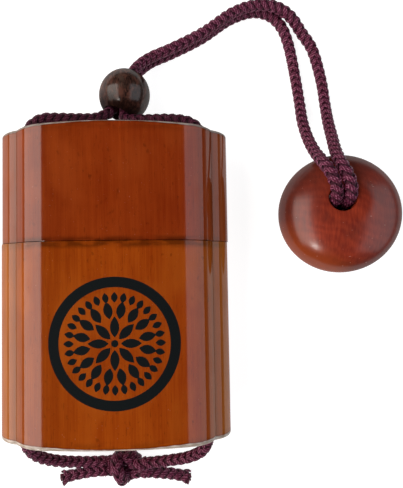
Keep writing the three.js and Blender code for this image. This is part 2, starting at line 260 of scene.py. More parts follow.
class InroTrimSettings(bpy.types.PropertyGroup):
    bead_colour: bpy.props.FloatVectorProperty(
        name="Bead", description="Dark wood of the bead",
        default=(0.026, 0.012, 0.009), subtype="COLOR")
    netsuke_colour: bpy.props.FloatVectorProperty(
        name="Netsuke", description="Red-brown wood of the netsuke",
        default=(0.235, 0.031, 0.013), subtype="COLOR")
    cord_colour: bpy.props.FloatVectorProperty(
        name="Cord", description="Plum silk of the cord",
        default=(0.098, 0.0085, 0.036), subtype="COLOR")
    glint_colour: bpy.props.FloatVectorProperty(
        name="Cord flecks", description="Where the silk catches the light",
        default=(0.50, 0.18, 0.29), subtype="COLOR")
    cord_diameter: bpy.props.FloatProperty(
        name="Cord diameter", description="Across the braid",
        default=0.0034, unit="LENGTH")
    braid_pitch: bpy.props.FloatProperty(
        name="Braid pitch", description="Length in which a yarn goes once round the cord",
        default=0.009, unit="LENGTH")


class InroStageSettings(bpy.types.PropertyGroup):
    left_brightness: bpy.props.FloatProperty(
        name="Left softbox", description="Brightness of the left light's face",
        default=3.6, min=0)
    right_brightness: bpy.props.FloatProperty(
        name="Right softbox", description="Brightness of the right light's face",
        default=1.3, min=0)
    lamp_brightness: bpy.props.FloatProperty(
        name="Lamp", description="Brightness of the small lamp below the left light",
        default=30.0, min=0)
    floor_glow: bpy.props.FloatProperty(
        name="Floor glow", description="How bright the white floor is of itself",
        default=0.89, min=0)


# Shader sums


class Socket:
    """An output of a material's node, on which sums are written as on a number."""

    def __init__(self, finish, link):
        self.finish = finish
        self.link = link

    def sum(self, operation, *values):
        return self.finish.node("ShaderNodeMath", {"operation": operation}, dict(enumerate(values)))

    def __add__(self, other):
        return self.sum("ADD", self, other)

    def __radd__(self, other):
        return self.sum("ADD", other, self)

    def __sub__(self, other):
        return self.sum("SUBTRACT", self, other)

    def __rsub__(self, other):
        return self.sum("SUBTRACT", other, self)

    def __mul__(self, other):
        return self.sum("MULTIPLY", self, other)

    def __rmul__(self, other):
        return self.sum("MULTIPLY", other, self)

    def __truediv__(self, other):
        return self.sum("DIVIDE", self, other)

    def __rtruediv__(self, other):
        return self.sum("DIVIDE", other, self)

    def __pow__(self, other):
        return self.sum("POWER", self, other)

    def __rpow__(self, other):
        return self.sum("POWER", other, self)

    def __abs__(self):
        return self.sum("ABSOLUTE", self)

    def most(self, other):
        return self.sum("MAXIMUM", self, other)

    def over(self, low, high):
        """0 below low, 1 above high, and a smooth step between them."""
        return self.finish.node(
            "ShaderNodeMapRange", {"interpolation_type": "SMOOTHSTEP"},
            {"Value": self, "From Min": low, "From Max": high})

    def under(self, low, high):
        """1 below low, 0 above high, and a smooth step between them."""
        return 1 - self.over(low, high)

    def fraction(self):
        return self.sum("FRACT", self)

    def wave(self):
        """Up and down between 0 and 1 once in each whole step."""
        return abs(self.fraction() * 2 - 1)


class Finish:
    """The nodes of a material, or of the world."""

    def __init__(self, owner):
        self.owner = owner
        owner.use_nodes = True
        self.tree = owner.node_tree
        self.tree.nodes.clear()

    def node(self, kind, settings=None, inputs=None, output=0):
        """Any node: its type, its settings, the values or links of its sockets. Returns one output."""
        made = self.tree.nodes.new(kind)
        for name, value in (settings or {}).items():
            setattr(made, name, value)
        for name, value in (inputs or {}).items():
            if isinstance(value, Socket):
                self.tree.links.new(value.link, made.inputs[name])
            else:
                made.inputs[name].default_value = value
        return Socket(self, made.outputs[output]) if made.outputs else None

    def millimetres(self, centre=(0, 0, 0), stretch=(1, 1, 1)):
        """The piece's own coordinates in millimetres from a centre, each shortened by its stretch."""
        raw = self.node("ShaderNodeTexCoord", output="Object")
        scale = [1 / (MM * s) for s in stretch]
        shift = [-c / s for c, s in zip(centre, stretch)]
        return self.node("ShaderNodeMapping", inputs={"Vector": raw, "Location": shift, "Scale": scale})

    def split(self, vector):
        """The three parts of a vector."""
        made = self.node("ShaderNodeSeparateXYZ", inputs={0: vector})
        return [Socket(self, output) for output in made.link.node.outputs]

    def noise(self, vector, detail=2.0, roughness=0.5, distortion=0.0):
        return self.node("ShaderNodeTexNoise", inputs={
            "Vector": vector, "Scale": 1.0, "Detail": detail, "Roughness": roughness,
            "Distortion": distortion})

    def grained(self, stretch, centre=(0, 0, 0), **texture):
        """Noise in the piece's own coordinates, with cells as large as the stretch, in millimetres."""
        return self.noise(self.millimetres(centre, stretch), **texture)

    def blend(self, share, first, second, how="MIX"):
        """Two colours mixed, the second by its share."""
        colours = [c if isinstance(c, Socket) else (*c, 1) for c in (first, second)]
        settings = {"data_type": "RGBA", "blend_type": how}
        return self.node("ShaderNodeMix", settings, {0: share, 6: colours[0], 7: colours[1]}, output=2)

    def layered(self, base, *coats):
        """A base with other colours laid over it in turn, each given with its share."""
        for share, colour in coats:
            base = self.blend(share, base, colour)
        return base

    def bump(self, height, distance):
        return self.node("ShaderNodeBump", inputs={"Height": height, "Distance": distance, "Strength": 1.0})

    def surface(self, inputs):
        """Ends the material in one shader with these inputs."""
        shader = self.node("ShaderNodeBsdfPrincipled", inputs=inputs)
        self.node("ShaderNodeOutputMaterial", inputs={"Surface": shader})
        return self.owner


def scaled(colour, factor):
    return tuple(c * factor for c in colour)


def tinted(colour, red, green, blue):
    """A colour with each of its three parts multiplied."""
    return (colour[0] * red, colour[1] * green, colour[2] * blue)


# Materials


def lens_ring(radius, angle, count, turned, middle, half_length, half_width):
    """1 inside a ring of lens-shaped cells that point outwards from the centre."""
    share = angle * (count / (2 * math.pi)) + turned
    across = (share.fraction() - 0.5) * (2 * math.pi / count)
    sideways = abs(radius * across)
    along = abs(radius - middle) / half_length
    width = (1 - along * along) * half_width
    return (width - sideways).over(-0.04, 0.05)


def roundel_mask(finish, settings):
    """1 where the front is painted black: a ring, and inside it three rings of lens-shaped cells."""
    x, y, z = finish.split(finish.millimetres(ROUNDEL_CENTRE))
    radius = (x * x + y * y) ** 0.5
    angle = y.sum("ARCTAN2", y, x) + 2 * math.pi
    half_band = settings.roundel_band / MM / 2
    middle = settings.roundel_radius / MM - half_band
    ring = abs(radius - middle).under(half_band - 0.05, half_band + 0.05)
    petals = lens_ring(radius, angle, count=8, turned=0.5, middle=4.1, half_length=2.6, half_width=1.15)
    cells = lens_ring(radius, angle, count=16, turned=0.0, middle=8.3, half_length=2.2, half_width=1.15)
    buds = lens_ring(radius, angle, count=32, turned=0.5, middle=11.4, half_length=1.3, half_width=0.8)
    core = radius.under(0.85, 0.95)
    painted = ring.most(petals).most(cells).most(buds).most(core)
    return painted * z.over(13.0, 14.0)


def wood_with_painted_side_shade(finish, colour, x, grain):
    """The wood's grain, with painted shade darker to both sides, and specks, golden patches, stains and pale
    dust.
    """
    streak = finish.grained((1.5, 45, 1.5))
    cloud = finish.grained((7, 11, 7), detail=3)
    speck = finish.grained((0.45, 0.8, 0.45), detail=1).over(0.70, 0.76)
    pore = finish.grained((0.22, 2.4, 0.22), detail=0).over(0.72, 0.80)
    golden = finish.grained((9, 17, 9), centre=(6, 2, 0)).over(0.48, 0.68)
    stain = finish.grained((1.6, 2.6, 1.6), centre=(-7, 3, 0)).over(0.66, 0.76)
    dust = finish.grained((0.3, 0.5, 0.3), centre=(9, 4, 2), detail=0).over(0.82, 0.87)
    tone = grain.over(0.3, 0.7) * 0.4 + streak.over(0.3, 0.7) * 0.35 + cloud.over(0.35, 0.65) * 0.25
    base = finish.blend(tone, tinted(colour, 0.80, 0.62, 0.6), tinted(colour, 1.16, 1.25, 1.3))
    # Painted shade: the left darker, to even out the stronger light from the left, and the right a little
    # darker.
    base = finish.blend(x.under(-19, 2), base, (0.80, 0.82, 0.85), how="MULTIPLY")
    base = finish.blend(x.over(4, 20), base, (0.95, 0.86, 0.95), how="MULTIPLY")
    return finish.layered(
        base,
        (speck.most(pore) * 0.42, scaled(colour, 0.35)),
        (golden * 0.4, tinted(colour, 1.25, 1.6, 2.2)),
        (stain * 0.4, scaled(colour, 0.3)),
        (dust * 0.16, (0.55, 0.30, 0.22)),
    )


def smudges_shade_and_reflections(finish, base, colour, y, z, beside, grain, pale_rim_end):
    """Darker smudges at the seam and near the end with the pale rim, painted shade in the grooves, and
    painted reflections of the softboxes: the corners and runners paler, with a paler strip along each runner.
    """
    smudge = finish.grained((6, 2, 5), centre=(4, 0, 0), detail=3).over(0.36, 0.60)
    # Darker in smudges along the seam.
    near_seam = abs(y - (SEAM - 0.3)).under(0.5, 2.0)
    # Painted shade: darker along the grooves.
    groove = abs(beside - GROOVE_X).under(0.2, 1.0) * z.over(MID_HEIGHT, MID_HEIGHT + 3)
    # Painted reflections of the softboxes: the corners and runners paler, and a paler strip along each
    # runner's crest.
    crest = abs(beside - 28.6).under(0.3, 1.6) * grain.over(0.2, 0.6)
    # Darker in smudges near the end with the pale rim.
    darker_by_end = abs(y - pale_rim_end).under(0.8, 3.0) * smudge
    reflection_tint = tinted(colour, 0.95, 1.9, 4)
    return finish.layered(
        base,
        (near_seam * (smudge * 0.55 + 0.25), scaled(colour, 0.25)),
        (groove * 0.45, scaled(colour, 0.3)),
        (beside.over(20, 27) * 0.4, reflection_tint),
        (crest * 0.35, scaled(reflection_tint, 1.6)),
        (darker_by_end * 0.35, scaled(colour, 0.3)),
    )


def pale_rim_and_shade_line(finish, base, colour, from_end, corner, width, paleness):
    """A rim painted pale, as worn bare wood and as a painted reflection of the pale floor, with a dark line
    of painted shade beside it. Also returns where it is pale.
    """
    patchy = finish.grained((2.2, 0.6, 1.2), detail=3)
    depth = from_end - corner * width * 1.1 - (patchy - 0.5) * 0.2
    on_rim = from_end.over(0.03, 0.14)
    # The pale rim: wear, and a painted reflection of the pale floor.
    pale_rim = depth.under(width * 0.8, width * 1.15) * on_rim
    # Painted shade: a dark line beside the pale rim.
    line = abs(depth - width * 1.25).under(0.02, 0.22) * on_rim
    dull = scaled((0.33, 0.27, 0.22), paleness)
    pale = scaled((0.60, 0.54, 0.49), paleness)
    pale_rim_colour = finish.blend(patchy.over(0.3, 0.7), dull, pale)
    return finish.layered(base, (pale_rim * 0.9, pale_rim_colour), (line * 0.5, scaled(colour, 0.25))), pale_rim


def lacquered_wood(name, colour, pale_rim_end, pale_rim_width, paleness, sideways=0, crown=(0, 0), roundel=None):
    """Fine straight-grained wood under clear red lacquer, with painted shade and painted reflections, and the
    rim of a flat or domed end painted pale: worn, and a painted reflection of the floor.
    """
    finish = Finish(bpy.data.materials.new(name))
    x, y, z = finish.split(finish.millimetres())
    rise, fall = crown
    from_end = abs(x * x * ((rise + fall) / RUNNER_X**2) + (y - pale_rim_end - rise))
    grain = finish.grained((0.34, 14, 0.34), detail=3, roughness=0.65)
    ripple = finish.grained((2.0, 5.0, 2.0))
    smear = finish.grained((5, 9, 5), detail=3)
    base = wood_with_painted_side_shade(finish, colour, x, grain)
    if roundel is not None:
        base = finish.blend(roundel_mask(finish, roundel), base, (0.008, 0.010, 0.011))
    base = smudges_shade_and_reflections(finish, base, colour, y, z, abs(x - sideways), grain, pale_rim_end)
    base, pale_rim = pale_rim_and_shade_line(finish, base, colour, from_end, abs(x).over(4, 21), pale_rim_width, paleness)
    return finish.surface({
        "Base Color": base,
        "Roughness": smear * 0.16 + grain * 0.12 + 0.36,
        "Specular IOR Level": 0.0,
        "Coat Weight": 0.36 - pale_rim * 0.2 - smear.over(0.5, 0.8) * 0.07,
        "Coat Roughness": 0.055,
        "Coat IOR": 2.0,
        "Normal": finish.bump(grain * 0.5 + ripple * 0.5, 0.000006),
    })


def inside_wood(name):
    """The plain matt lacquer inside the case."""
    finish = Finish(bpy.data.materials.new(name))
    tone = finish.grained((1.2, 8, 1.2), detail=3)
    base = finish.blend(tone.over(0.3, 0.7), (0.035, 0.012, 0.008), (0.055, 0.018, 0.01))
    return finish.surface({"Base Color": base, "Roughness": tone * 0.1 + 0.42})


def bead_wood(name, colour):
    """Dark polished wood with reddish streaks along the hole and a fine grey grain, and painted shade round
    the lower mouth.
    """
    finish = Finish(bpy.data.materials.new(name))
    x, y, _ = finish.split(finish.millimetres(BEAD_CENTRE))
    streak = finish.grained((1.2, 3.6, 1.2), centre=BEAD_CENTRE, detail=4, roughness=0.6, distortion=0.4)
    grain = finish.grained((0.28, 1.6, 0.28), detail=3)
    spot = finish.grained((2.4, 2.4, 2.4), centre=(1, 2, 5), detail=3)
    # Painted shade: nearly black, and less glossy, round the lower mouth, where the strands shade it.
    shade_by_mouth = (y * 0.94 + x * 0.34 + spot * 2).under(-4.5, -0.5)
    base = finish.layered(
        finish.blend(grain.over(0.35, 0.65), scaled(colour, 0.5), scaled(colour, 1.7)),
        (streak.over(0.46, 0.64) * 0.75, (0.115, 0.045, 0.032)),
        (spot.over(0.52, 0.72) * 0.4, (0.085, 0.058, 0.046)),
        (shade_by_mouth * 0.75, (0.006, 0.003, 0.003)),
    )
    return finish.surface({
        "Base Color": base,
        "Roughness": 0.4,
        "Specular IOR Level": 0.0,
        "Coat Weight": (0.38 - grain * 0.14 - spot * 0.16) * (1 - shade_by_mouth * 0.7),
        "Coat Roughness": 0.18,
        "Coat IOR": 2.2,
        "Normal": finish.bump(grain * 0.7 + streak * 0.8, 0.00005),
    })


def netsuke_wood(name, colour):
    """Close-grained red-brown wood, waxed, with faint rings of growth and a few pale nicks, painted shade at
    the upper left and round the rim, painted light at the lower left, and a painted reflection of the right
    softbox on the right.
    """
    finish = Finish(bpy.data.materials.new(name))
    x, y, _ = finish.split(finish.millimetres(NETSUKE_CENTRE))
    from_middle = (x * x + y * y) ** 0.5
    from_hole = ((x - NETSUKE_HOLE_AT.x) ** 2 + (y - NETSUKE_HOLE_AT.y) ** 2) ** 0.5
    grain = finish.grained((0.5, 3.6, 0.8), detail=4, roughness=0.65)
    cloud = finish.grained((8, 7, 8), centre=(2, 3, 0), detail=3)
    wander = finish.grained((14, 14, 14))
    ring = (y * 0.42 + x * 0.16 + wander * 5).wave()
    tone = grain.over(0.3, 0.72) * 0.5 + cloud.over(0.3, 0.7) * 0.3 + ring.over(0.1, 0.95) * 0.2
    dark = finish.grained((6, 9, 6), centre=(5, 9, 1), detail=3).over(0.5, 0.72)
    # Painted shade: darker towards the upper left.
    shade_upper_left = (y * 0.8 - x * 0.5 + cloud * 6).over(4, 16)
    # Painted light: orange at the lower left rim, towards the left softbox and lamp.
    lit_lower_left = (x * 0.6 + y * 0.8 + cloud * 5).under(-14, -7) * from_middle.over(9, 14)
    # Painted reflection of the right softbox: a grey-purple veil towards the right.
    right_reflection = (x * 0.9 + cloud * 5).over(2, 12)
    nick = finish.grained((1.2, 0.4, 0.6), centre=(7, 1, 3), detail=1).over(0.76, 0.80)
    base = finish.layered(
        finish.blend(tone, tinted(colour, 0.58, 0.5, 0.7), scaled(colour, 1.28)),
        (dark * 0.5, (0.085, 0.020, 0.014)),
        (shade_upper_left * 0.45, (0.085, 0.018, 0.013)),
        # Painted shade: darker round the rim.
        (from_middle.over(12.0, 16.5) * 0.75, (0.070, 0.015, 0.010)),
        (lit_lower_left * 0.55, (0.36, 0.060, 0.008)),
        (right_reflection * 0.4, (0.105, 0.034, 0.034)),
        (nick * 0.5, (0.5, 0.3, 0.25)),
    )
    return finish.surface({
        "Base Color": base,
        "Roughness": 0.45,
        "Specular IOR Level": 0.0,
        "Coat Weight": (0.29 - grain * 0.08) * from_hole.over(4.6, 7.0),
        "Coat Roughness": 0.235,
        "Coat IOR": 2.2,
        "Normal": finish.bump(grain * 0.8 + cloud, 0.00004),
    })


def braid_silk(name, colour, glint_tint):
    """Braided silk: each yarn two-ply, with painted light on its crest and painted shade, nearly black, where
    it dips, painted glints, and painted shade near the bead.
    """
    finish = Finish(bpy.data.materials.new(name))
    along, around, _ = finish.split(finish.node("ShaderNodeUVMap", {"uv_map": "Yarn"}))
    height = finish.node("ShaderNodeAttribute", {"attribute_name": "height"}, output=2)
    x, y, _ = finish.split(finish.millimetres())
    lay = finish.node("ShaderNodeCombineXYZ", inputs={0: along * 1.9, 1: around * 17 + along * 3.0, 2: 0.0})
    filament = finish.noise(lay, detail=3, roughness=0.65)
    patch = finish.grained((0.7, 0.7, 0.7))
    fade = finish.grained((9, 9, 9), centre=(3, 1, 2)).over(0.40, 0.62)
    ply = (along * 1.5 + around * 2).wave()
    crest = (around.fraction() - 0.25).wave().over(0.42, 0.95)
    raised = height.over(0.12, 0.85)
    # Painted shade: the cord darker, with fewer glints, near the bead.
    shade_by_bead = abs(y - 49).under(6, 13) * x.under(20, 32)
    in_tail = around.over(TAIL_LANE - 2, TAIL_LANE - 1)
    # Painted light and shade: lighter on each yarn's crest and where it passes over, nearly black where it
    # dips under.
    lit = crest * (raised * 0.70 + 0.30) * (filament * 0.8 + patch * 0.5 + 0.1)
    # Painted highlights: small glints on the crests of the raised yarns.
    glint = (ply * 0.40 + filament * 0.5 + patch * 0.65).over(0.76, 1.00)
    glint = glint * crest * raised * (1 - shade_by_bead * 0.7)
    base = finish.blend(lit, scaled(colour, 0.10), scaled(colour, 1.35))
    base = finish.blend(fade * 0.45, base, (0.85, 0.45, 0.55), how="MULTIPLY")
    base = finish.blend(shade_by_bead * 0.6, base, (0.50, 0.42, 0.45), how="MULTIPLY")
    return finish.surface({
        "Base Color": finish.layered(base, (in_tail * 0.5, (0.16, 0.010, 0.030)), (glint * 0.56, glint_tint)),
        "Roughness": 0.58 - filament * 0.14,
        "Specular IOR Level": 0.2,
        "Normal": finish.bump(ply * 0.8 + filament * 0.5, 0.00009),
    })


def pale_floor(name, glow):
    """A plain white floor, in shade below the netsuke."""
    finish = Finish(bpy.data.materials.new(name))
    x, y, _ = finish.split(finish.millimetres(BELOW_NETSUKE_HOLE))
    away = ((x * x + y * y) ** 0.5).over(7, 12)
    return finish.surface({
        "Base Color": (0.38, 0.38, 0.38, 1),
        "Roughness": 1.0,
        "Specular IOR Level": 0.0,
        "Emission Color": finish.blend(away, (0.02, 0.02, 0.02), (1, 1, 1)),
        "Emission Strength": glow,
    })


# Shapes


def loop_of(made):
    return [e for e in made["geom"] if isinstance(e, bmesh.types.BMEdge) and e.is_boundary]


def corners_of(edges):
    return list(dict.fromkeys(v for e in edges for v in e.verts))


def extend(bm, loop, move):
    """Grows a wall from a loop of edges, and returns its new rim."""
    grown = loop_of(bmesh.ops.extrude_edge_only(bm, edges=loop))
    bmesh.ops.translate(bm, verts=corners_of(grown), vec=move)
    return grown


def shrink(bm, loop, amount, move=(0, 0, 0)):
    """Grows a ledge of even width inwards from a flat loop, moves its inner rim and returns it."""
    face = bmesh.ops.contextual_create(bm, geom=loop)["faces"][0]
    if amount:
        bmesh.ops.inset_region(bm, faces=[face], thickness=amount, use_even_offset=True)
    rim = list(face.edges)
    bmesh.ops.translate(bm, verts=list(face.verts), vec=move)
    bmesh.ops.delete(bm, geom=[face], context="FACES_ONLY")
    return rim


def round_over(bm, loop, radius, direction, steps=4):
    """Rounds a wall's end inwards by a quarter circle."""
    inward = forward = 0
    for i in range(1, steps + 1):
        angle = math.pi / 2 * i / steps
        next_in = radius * (1 - math.cos(angle))
        next_forward = radius * math.sin(angle)
        loop = shrink(bm, loop, next_in - inward, (0, direction * (next_forward - forward), 0))
        inward, forward = next_in, next_forward
    return loop


def arc(bm, vertex, centre, angle, steps):
    """Spins a vertex about a point of the case's section, and returns the arc's last vertex."""
    spun = bmesh.ops.spin(bm, geom=[vertex], cent=centre, axis=ALONG, angle=angle, steps=steps)
    return [g for g in spun["geom_last"] if isinstance(g, bmesh.types.BMVert)][0]


def case_section(bm, y):
    """The case's outline at some distance along it: crowned panels, round runners and sharp grooves."""
    half = THICKNESS / 2
    crown_radius = (PANEL_HALF_WIDTH**2 + PANEL_RISE**2) / (2 * PANEL_RISE)
    crown_angle = math.asin(PANEL_HALF_WIDTH / crown_radius)
    crown_centre = Vector((0, y, half - crown_radius))
    groove_angle = math.acos((GROOVE_X - RUNNER_X) / RUNNER_RADIUS)
    groove = Vector((GROOVE_X, y, RUNNER_RADIUS * math.sin(groove_angle)))
    vertex = arc(bm, bm.verts.new((0, y, half)), crown_centre, crown_angle, PANEL_STEPS)
    chord = groove - vertex.co
    half_turn = math.atan2(-chord.z, chord.x) - crown_angle
    corner_radius = chord.length / (2 * math.sin(half_turn))
    inward = (crown_centre - vertex.co).normalized()
    vertex = arc(bm, vertex, vertex.co + inward * corner_radius, 2 * half_turn, CORNER_STEPS)
    arc(bm, vertex, Vector((RUNNER_X, y, 0)), groove_angle, RUNNER_STEPS)
    for axis in "ZX":
        bmesh.ops.mirror(bm, geom=bm.verts[:] + bm.edges[:], axis=axis, merge_dist=NEAR)
    bmesh.ops.remove_doubles(bm, verts=bm.verts[:], dist=NEAR)
    bmesh.ops.bisect_plane(
        bm, geom=bm.verts[:] + bm.edges[:], plane_co=(0, y, -MID_HEIGHT), plane_no=(0, 0, -1),
        clear_outer=True)
    ends = [v for v in bm.verts if len(v.link_edges) == 1]
    bm.edges.new(ends)
    return bm.edges[:]


def cavity_outline(bm, grow, y):
    """The cavity's rounded outline across the case, made larger all round."""
    made = bmesh.ops.create_grid(bm, x_segments=1, y_segments=1, size=1)["verts"]
    bmesh.ops.scale(bm, verts=made, vec=(CAVITY_HALF_WIDTH + grow, CAVITY_HALF_DEPTH + grow, 1))
    bmesh.ops.rotate(bm, verts=made, matrix=Matrix.Rotation(math.pi / 2, 3, "X"))
    bmesh.ops.translate(bm, verts=made, vec=(0, y, 0))
    bevelled = bmesh.ops.bevel(
        bm, geom=made, offset=CAVITY_RADIUS + grow, affect="VERTICES", segments=CAVITY_CORNER_STEPS,
        profile=0.5, material=-1)
    face = max((f for v in bevelled["verts"] for f in v.link_faces), key=lambda f: f.calc_area())
    loop = list(face.edges)
    bmesh.ops.delete(bm, geom=[face], context="FACES_ONLY")
    return loop


def channel_mouths(bm, y):
    """The rims of the two flared cord channels in an end of the case."""
    loops = []
    for x in (-CHANNEL_X, CHANNEL_X):
        place = Matrix.Translation((x, y, 0)) @ Matrix.Rotation(math.pi / 2, 4, "X")
        made = bmesh.ops.create_circle(bm, segments=CHANNEL_SIDES, radius=MOUTH_RADIUS, matrix=place)["verts"]
        loops.append(list(dict.fromkeys(e for v in made for e in v.link_edges)))
    return loops


def flared_channels(bm, mouths, direction, length):
    """Runs each channel inwards from its flared mouth, and returns the far rims."""
    rims = []
    for loop, x in zip(mouths, (-CHANNEL_X, CHANNEL_X)):
        radius = MOUTH_RADIUS
        depth = 0
        for i in range(1, FLARE_STEPS + 1):
            angle = math.pi / 2 * i / FLARE_STEPS
            next_radius = CHANNEL_RADIUS + CHANNEL_FLARE * (1 - math.sin(angle))
            next_depth = CHANNEL_FLARE * (1 - math.cos(angle))
            loop = extend(bm, loop, (0, direction * (next_depth - depth), 0))
            bmesh.ops.scale(
                bm, verts=corners_of(loop), vec=(next_radius / radius, 1, next_radius / radius),
                space=Matrix.Translation((-x, 0, 0)))
            radius, depth = next_radius, next_depth
        rims.append(extend(bm, loop, (0, direction * (length - CHANNEL_FLARE), 0)))
    return rims


def fill_flat(bm, loops):
    """Closes a flat end that has holes in it."""
    edges = [e for loop in loops for e in loop]
    bmesh.ops.triangle_fill(bm, edges=edges, use_beauty=True, use_dissolve=False)


def outer_wall(bm, outward, rim, seam):
    """A shell's outside from the seam to its rounded rim, with its end and its cord channels.

    Returns the open rims at the seam: the outline, then the two channels.
    """
    end = outward * HALF_HEIGHT
    start = end - outward * rim
    section = case_section(bm, start)
    outline = extend(bm, section, (0, seam + outward * SEAM_EDGE - start, 0))
    outline = round_over(bm, outline, SEAM_EDGE, -outward, steps=2)
    closed = round_over(bm, section, rim, outward)
    mouths = channel_mouths(bm, end)
    fill_flat(bm, [closed, *mouths])
    return [outline, *flared_channels(bm, mouths, -outward, abs(seam - end))]


def added_object(name, bm, materials, sharp):
    """Puts a bmesh in the scene as an object at the origin, smooth except along its sharp edges."""
    mesh = bpy.data.meshes.new(name)
    bm.to_mesh(mesh)
    bm.free()
    mesh.shade_smooth()
    mesh.set_sharp_from_angle(angle=math.radians(sharp))
    for material in materials:
        mesh.materials.append(material)
    made = bpy.data.objects.new(name, mesh)
    bpy.context.scene.collection.objects.link(made)
    return made


def finished_piece(name, bm, materials):
    """Turns a mesh drawn in millimetres into a piece with evenly shaded faces."""
    bmesh.ops.remove_doubles(bm, verts=bm.verts[:], dist=WELD)
    bmesh.ops.recalc_face_normals(bm, faces=bm.faces[:])
    bmesh.ops.scale(bm, verts=bm.verts[:], vec=(MM, MM, MM))
    piece = added_object(name, bm, materials, HARD_EDGE)
    modifier = piece.modifiers.new("Even shading", "WEIGHTED_NORMAL")
    modifier.keep_sharp = True
    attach(piece, BODY)
    return piece


def line_inside(loops):
    """Gives the faces that touch these loops, and end walls between them, the piece's second material."""
    for loop in loops:
        for edge in loop:
            for face in edge.link_faces:
                face.material_index = 1


def crown_end(bm, end, rise, fall):
    """Domes the flat end of the lid a little: higher in the middle, lower at the sides."""
    for vertex in bm.verts:
        share = max(0.0, 1 - (end - vertex.co.y) / END_DEPTH)
        vertex.co.y += share * (rise - (rise + fall) * (vertex.co.x / RUNNER_X) ** 2)


def body_shell(settings):
    """The lower part of the case: outer wall, rounded lower rim, cord channels, cavity and lip."""
    bm = bmesh.new()
    outline, *channels = outer_wall(bm, -1, settings.rim_rounding / MM, SEAM)
    lip = cavity_outline(bm, LIP_THICKNESS, SEAM)
    fill_flat(bm, [outline, lip, *channels])
    lip = extend(bm, lip, (0, LIP_HEIGHT - LIP_ROUNDING, 0))
    lip = round_over(bm, lip, LIP_ROUNDING, 1, steps=3)
    lip = shrink(bm, lip, LIP_THICKNESS - 2 * LIP_ROUNDING)
    lip = shrink(bm, lip, LIP_ROUNDING, (0, -LIP_ROUNDING, 0))
    cavity = extend(bm, lip, (0, FLOOR - HALF_HEIGHT - SEAM - LIP_HEIGHT + LIP_ROUNDING, 0))
    bmesh.ops.contextual_create(bm, geom=cavity)
    line_inside([lip, cavity])
    bmesh.ops.translate(bm, verts=bm.verts[:], vec=(0, 0, MID_HEIGHT))
    return bm


def lid_shell(settings):
    """The upper part of the case: outer wall, rounded upper rim, cord channels and socket."""
    bm = bmesh.new()
    start = SEAM + settings.seam_gap / MM
    outline, *channels = outer_wall(bm, 1, settings.lid_rim_rounding / MM, start)
    socket = cavity_outline(bm, LIP_THICKNESS + LIP_CLEARANCE, start)
    fill_flat(bm, [outline, socket, *channels])
    socket = extend(bm, socket, (0, HALF_HEIGHT - FLOOR - start, 0))
    bmesh.ops.contextual_create(bm, geom=socket)
    line_inside([socket])
    crown_end(bm, HALF_HEIGHT, *LID_CROWN)
    bmesh.ops.translate(bm, verts=bm.verts[:], vec=(LID_SIDEWAYS, 0, MID_HEIGHT))
    return bm


def turned(points, axis, steps):
    """A solid of revolution from a closed profile."""
    bm = bmesh.new()
    ring = [bm.verts.new(p) for p in points]
    edges = [bm.edges.new(pair) for pair in zip(ring, ring[1:] + ring[:1])]
    bmesh.ops.spin(
        bm, geom=ring + edges, cent=(0, 0, 0), axis=axis, angle=2 * math.pi, steps=steps, use_merge=True)
    bmesh.ops.remove_doubles(bm, verts=bm.verts[:], dist=WELD)
    return bm


def arc_points(centre, radius, start, end, steps):
    """Points on an arc, as pairs, without its first."""
    angles = [start + (end - start) * i / steps for i in range(1, steps + 1)]
    return [(centre[0] + radius * math.cos(a), centre[1] + radius * math.sin(a)) for a in angles]


def bead_profile():
    """A ball with a wide hole whose mouths are rounded over, as pairs of radius and distance along."""
    hole, rounding = BEAD_HOLE, BEAD_ROUNDING
    mouth = math.asin((hole + rounding) / BEAD_RADIUS)
    mouth_y = BEAD_RADIUS * math.cos(mouth)
    ball = arc_points((0, 0), BEAD_RADIUS, mouth - math.pi / 2, math.pi / 2 - mouth, BEAD_ARC_STEPS)
    low_centre = (hole + rounding, rounding - mouth_y)
    low = arc_points(low_centre, rounding, math.pi, 1.5 * math.pi, BEAD_MOUTH_STEPS)
    high = [(r, -y) for r, y in reversed(low)]
    start = (hole, rounding - mouth_y)
    return [start, *low, *ball[:-1], *high, (hole, mouth_y - rounding)]


def netsuke_rise(distance):
    share = min(1.0, distance / NETSUKE_RADIUS)
    return NETSUKE_HALF_THICKNESS * (1 - share**NETSUKE_FULLNESS) ** (1 / NETSUKE_FULLNESS)


def netsuke_profile():
    """A thick button with a domed face and back, a hole and a recess, as pairs of radius and height."""
    hole, rounding = NETSUKE_HOLE, NETSUKE_ROUNDING
    mouth = hole + rounding
    back = -netsuke_rise(RECESS_RADIUS)
    shares = [math.sin(math.pi / 2 * i / NETSUKE_ARC_STEPS) for i in range(NETSUKE_ARC_STEPS + 1)]
    under = [RECESS_RADIUS + (NETSUKE_RADIUS - RECESS_RADIUS) * s for s in shares]
    above = [mouth + (NETSUKE_RADIUS - mouth) * s for s in reversed(shares[:-1])]
    points = [(r, -netsuke_rise(r)) for r in under] + [(r, netsuke_rise(r)) for r in above]
    mouth_centre = (mouth, netsuke_rise(mouth) - rounding)
    points += arc_points(mouth_centre, rounding, math.pi / 2, math.pi, NETSUKE_MOUTH_STEPS)
    points += [(hole, back + RECESS_DEPTH), (RECESS_RADIUS, back + RECESS_DEPTH)]
    return points


